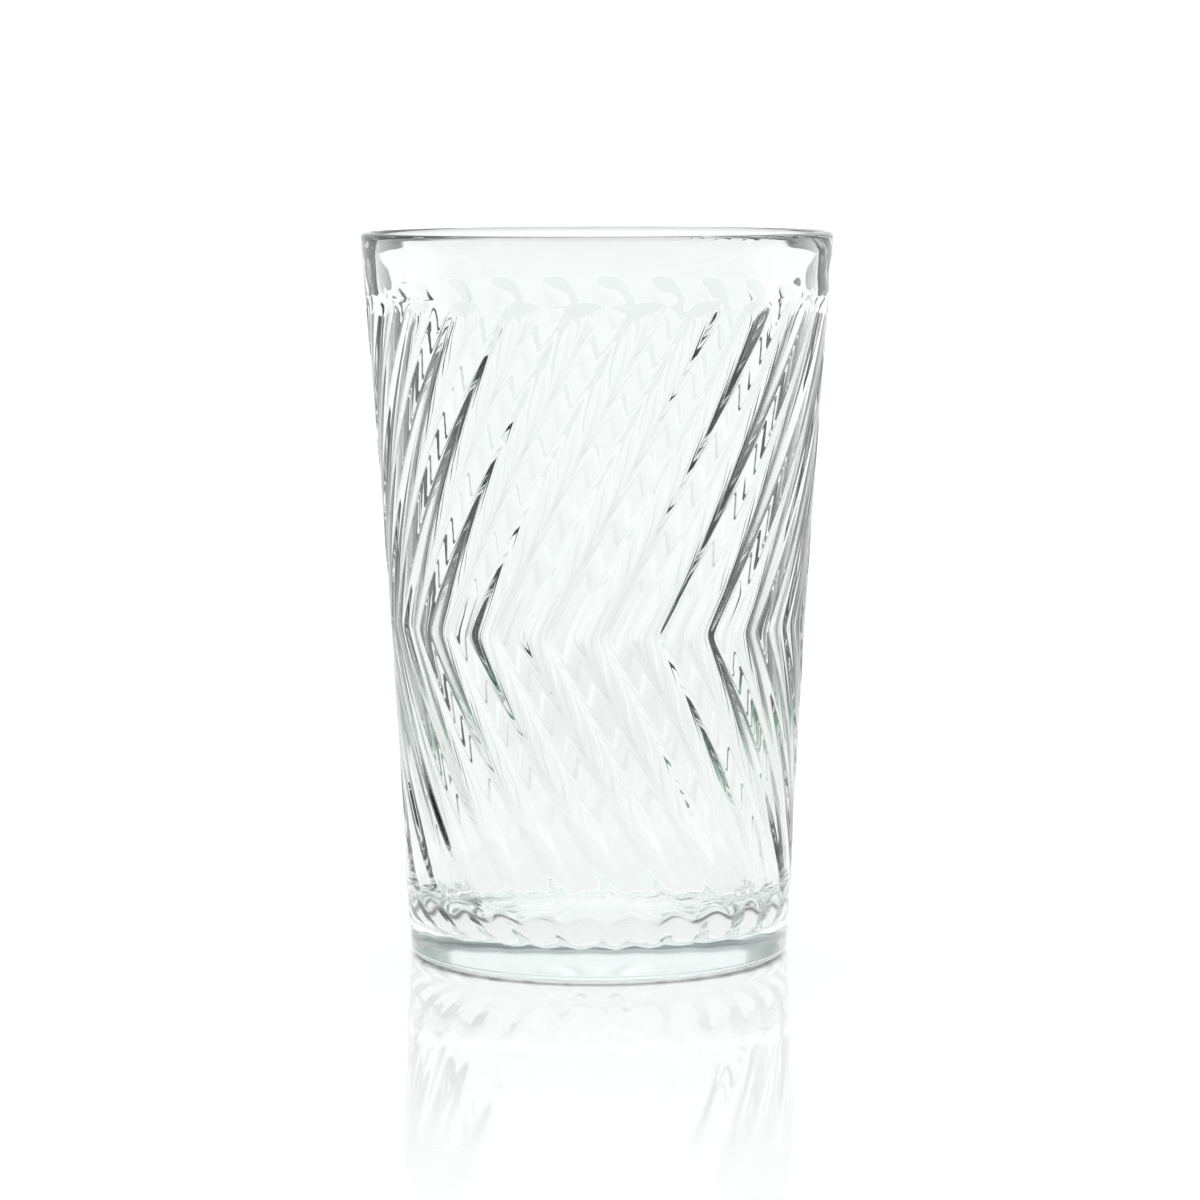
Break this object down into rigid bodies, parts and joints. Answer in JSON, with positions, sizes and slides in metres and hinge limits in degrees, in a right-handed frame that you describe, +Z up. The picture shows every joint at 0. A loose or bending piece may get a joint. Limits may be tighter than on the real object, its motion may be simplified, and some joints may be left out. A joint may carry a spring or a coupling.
{
  "type": "whisky tumbler",
  "caption": "Clear pressed-glass tumbler, a tall tapering cup with slanting flutes that bend to a chevron at mid height, a plain band under the lip and a clear solid base.",
  "frame": {"origin": "centre of the foot, on the plane that the tumbler stands on", "axes": "+Z up along the axis of the cup, towards the mouth; -Y is the front, as pictured"},
  "size_m": [0.0754, 0.0754, 0.116],
  "materials": {
    "clear_glass": "clear soda-lime glass with a faint grey-green tint, pressed and fire polished"
  },
  "bodies": {
    "root": {"thick_base": "clear_glass", "lower_fluted_wall": "clear_glass", "upper_fluted_wall": "clear_glass", "plain_mouth_band": "clear_glass"}
  },
  "joints": []
}
